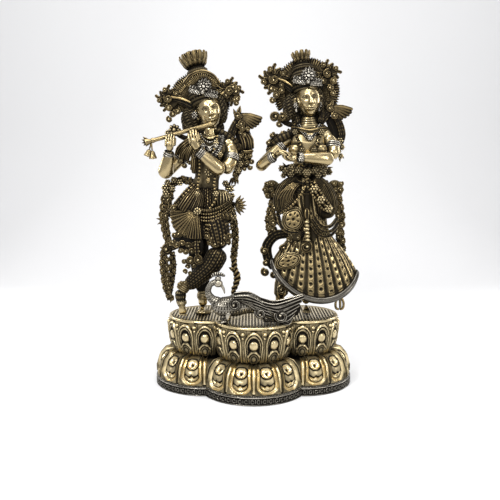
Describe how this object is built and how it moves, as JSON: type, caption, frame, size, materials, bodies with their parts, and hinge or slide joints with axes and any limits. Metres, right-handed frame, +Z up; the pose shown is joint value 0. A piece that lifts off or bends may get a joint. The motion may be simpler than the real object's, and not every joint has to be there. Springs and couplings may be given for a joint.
{
  "type": "radha krishna statue",
  "caption": "Cast brass sculpture of a flute-playing god and his consort with a peacock on a three-lobed lotus base.",
  "frame": {"origin": "on the flat underside of the lotus base, midway between the two figures' seats", "axes": "+Z up, -Y towards the viewer that the figures face, +X to that viewer's right, towards the consort"},
  "size_m": [0.4866, 0.3, 0.7584],
  "materials": {
    "lotus_base": "antique-finished yellow brass, polished high points over dark recesses",
    "krishna": "antique-finished yellow brass, polished high points over dark recesses",
    "radha": "antique-finished yellow brass, polished high points over dark recesses",
    "peacock": "greyer antique brass, brushed high points over dark recesses",
    "flute": "polished brass"
  },
  "bodies": {
    "root": {"lotus_base": "lotus_base", "krishna": "krishna", "radha": "radha", "peacock": "peacock", "flute": "flute"}
  },
  "joints": []
}
